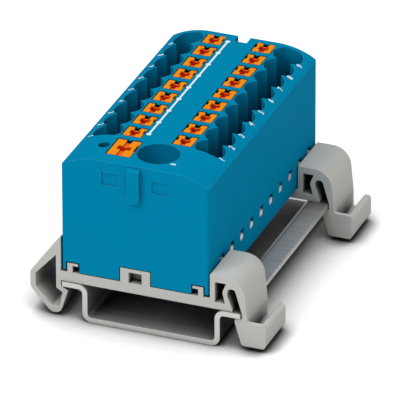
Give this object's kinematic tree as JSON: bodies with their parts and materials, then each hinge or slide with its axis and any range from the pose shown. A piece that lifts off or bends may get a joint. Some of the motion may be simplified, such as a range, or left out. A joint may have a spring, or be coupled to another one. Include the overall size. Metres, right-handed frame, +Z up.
{
  "type": "power distribution block on rail",
  "caption": "Blue push-in power distribution block with one large infeed terminal and two rows of small outlets, clipped by two grey feet on a piece of top-hat rail.",
  "frame": {"origin": "middle of the rail's underside, on the plane that the part stands on", "axes": "+X across the rail towards the latches, +Y along the rail away from the infeed terminal, +Z up out of the rail"},
  "size_m": [0.0462, 0.0572, 0.0338],
  "materials": {
    "rail_steel": "zinc plated, satin",
    "foot_plastic": "moulded, matt light grey",
    "housing_plastic": "moulded, satin blue",
    "cover_plastic": "moulded, satin blue",
    "tinned_copper": "tinned copper, dull",
    "button_plastic": "moulded, satin orange",
    "spring_steel": "stainless spring strip",
    "print_ink": "thin white print, in the look only"
  },
  "bodies": {
    "rail": {"mounting_rail": "rail_steel"},
    "block": {"housing": "housing_plastic", "bottom_cover": "cover_plastic", "busbar": "tinned_copper", "front_foot": "foot_plastic", "rear_foot": "foot_plastic", "infeed_spring": "spring_steel", "right_spring_1": "spring_steel", "right_spring_2": "spring_steel", "right_spring_3": "spring_steel", "right_spring_4": "spring_steel", "right_spring_5": "spring_steel", "right_spring_6": "spring_steel", "right_spring_7": "spring_steel", "right_spring_8": "spring_steel", "right_spring_9": "spring_steel", "left_spring_1": "spring_steel", "left_spring_2": "spring_steel", "left_spring_3": "spring_steel", "left_spring_4": "spring_steel", "left_spring_5": "spring_steel", "left_spring_6": "spring_steel", "left_spring_7": "spring_steel", "left_spring_8": "spring_steel", "left_spring_9": "spring_steel"},
    "infeed_button_body": {"infeed_button": "button_plastic"},
    "right_button_1_body": {"right_button_1": "button_plastic"},
    "right_button_2_body": {"right_button_2": "button_plastic"},
    "right_button_3_body": {"right_button_3": "button_plastic"},
    "right_button_4_body": {"right_button_4": "button_plastic"},
    "right_button_5_body": {"right_button_5": "button_plastic"},
    "right_button_6_body": {"right_button_6": "button_plastic"},
    "right_button_7_body": {"right_button_7": "button_plastic"},
    "right_button_8_body": {"right_button_8": "button_plastic"},
    "right_button_9_body": {"right_button_9": "button_plastic"},
    "left_button_1_body": {"left_button_1": "button_plastic"},
    "left_button_2_body": {"left_button_2": "button_plastic"},
    "left_button_3_body": {"left_button_3": "button_plastic"},
    "left_button_4_body": {"left_button_4": "button_plastic"},
    "left_button_5_body": {"left_button_5": "button_plastic"},
    "left_button_6_body": {"left_button_6": "button_plastic"},
    "left_button_7_body": {"left_button_7": "button_plastic"},
    "left_button_8_body": {"left_button_8": "button_plastic"},
    "left_button_9_body": {"left_button_9": "button_plastic"}
  },
  "joints": [
    {"name": "rail_slide", "type": "slide", "parent": "rail", "child": "block", "axis": [0, 1, 0], "range_m": [-0.02, 0.02]},
    {"name": "infeed_button_press", "type": "slide", "parent": "block", "child": "infeed_button_body", "axis": [0, 0, -1], "range_m": [0, 0.0012], "stiffness_N_per_m": 2500, "springref_m": -0.0015, "deforming": ["infeed_spring"]},
    {"name": "right_button_1_press", "type": "slide", "parent": "block", "child": "right_button_1_body", "axis": [0, 0, -1], "range_m": [0, 0.0012], "stiffness_N_per_m": 1200, "springref_m": -0.0015, "deforming": ["right_spring_1"]},
    {"name": "right_button_2_press", "type": "slide", "parent": "block", "child": "right_button_2_body", "axis": [0, 0, -1], "range_m": [0, 0.0012], "stiffness_N_per_m": 1200, "springref_m": -0.0015, "deforming": ["right_spring_2"]},
    {"name": "right_button_3_press", "type": "slide", "parent": "block", "child": "right_button_3_body", "axis": [0, 0, -1], "range_m": [0, 0.0012], "stiffness_N_per_m": 1200, "springref_m": -0.0015, "deforming": ["right_spring_3"]},
    {"name": "right_button_4_press", "type": "slide", "parent": "block", "child": "right_button_4_body", "axis": [0, 0, -1], "range_m": [0, 0.0012], "stiffness_N_per_m": 1200, "springref_m": -0.0015, "deforming": ["right_spring_4"]},
    {"name": "right_button_5_press", "type": "slide", "parent": "block", "child": "right_button_5_body", "axis": [0, 0, -1], "range_m": [0, 0.0012], "stiffness_N_per_m": 1200, "springref_m": -0.0015, "deforming": ["right_spring_5"]},
    {"name": "right_button_6_press", "type": "slide", "parent": "block", "child": "right_button_6_body", "axis": [0, 0, -1], "range_m": [0, 0.0012], "stiffness_N_per_m": 1200, "springref_m": -0.0015, "deforming": ["right_spring_6"]},
    {"name": "right_button_7_press", "type": "slide", "parent": "block", "child": "right_button_7_body", "axis": [0, 0, -1], "range_m": [0, 0.0012], "stiffness_N_per_m": 1200, "springref_m": -0.0015, "deforming": ["right_spring_7"]},
    {"name": "right_button_8_press", "type": "slide", "parent": "block", "child": "right_button_8_body", "axis": [0, 0, -1], "range_m": [0, 0.0012], "stiffness_N_per_m": 1200, "springref_m": -0.0015, "deforming": ["right_spring_8"]},
    {"name": "right_button_9_press", "type": "slide", "parent": "block", "child": "right_button_9_body", "axis": [0, 0, -1], "range_m": [0, 0.0012], "stiffness_N_per_m": 1200, "springref_m": -0.0015, "deforming": ["right_spring_9"]},
    {"name": "left_button_1_press", "type": "slide", "parent": "block", "child": "left_button_1_body", "axis": [0, 0, -1], "range_m": [0, 0.0012], "stiffness_N_per_m": 1200, "springref_m": -0.0015, "deforming": ["left_spring_1"]},
    {"name": "left_button_2_press", "type": "slide", "parent": "block", "child": "left_button_2_body", "axis": [0, 0, -1], "range_m": [0, 0.0012], "stiffness_N_per_m": 1200, "springref_m": -0.0015, "deforming": ["left_spring_2"]},
    {"name": "left_button_3_press", "type": "slide", "parent": "block", "child": "left_button_3_body", "axis": [0, 0, -1], "range_m": [0, 0.0012], "stiffness_N_per_m": 1200, "springref_m": -0.0015, "deforming": ["left_spring_3"]},
    {"name": "left_button_4_press", "type": "slide", "parent": "block", "child": "left_button_4_body", "axis": [0, 0, -1], "range_m": [0, 0.0012], "stiffness_N_per_m": 1200, "springref_m": -0.0015, "deforming": ["left_spring_4"]},
    {"name": "left_button_5_press", "type": "slide", "parent": "block", "child": "left_button_5_body", "axis": [0, 0, -1], "range_m": [0, 0.0012], "stiffness_N_per_m": 1200, "springref_m": -0.0015, "deforming": ["left_spring_5"]},
    {"name": "left_button_6_press", "type": "slide", "parent": "block", "child": "left_button_6_body", "axis": [0, 0, -1], "range_m": [0, 0.0012], "stiffness_N_per_m": 1200, "springref_m": -0.0015, "deforming": ["left_spring_6"]},
    {"name": "left_button_7_press", "type": "slide", "parent": "block", "child": "left_button_7_body", "axis": [0, 0, -1], "range_m": [0, 0.0012], "stiffness_N_per_m": 1200, "springref_m": -0.0015, "deforming": ["left_spring_7"]},
    {"name": "left_button_8_press", "type": "slide", "parent": "block", "child": "left_button_8_body", "axis": [0, 0, -1], "range_m": [0, 0.0012], "stiffness_N_per_m": 1200, "springref_m": -0.0015, "deforming": ["left_spring_8"]},
    {"name": "left_button_9_press", "type": "slide", "parent": "block", "child": "left_button_9_body", "axis": [0, 0, -1], "range_m": [0, 0.0012], "stiffness_N_per_m": 1200, "springref_m": -0.0015, "deforming": ["left_spring_9"]}
  ]
}
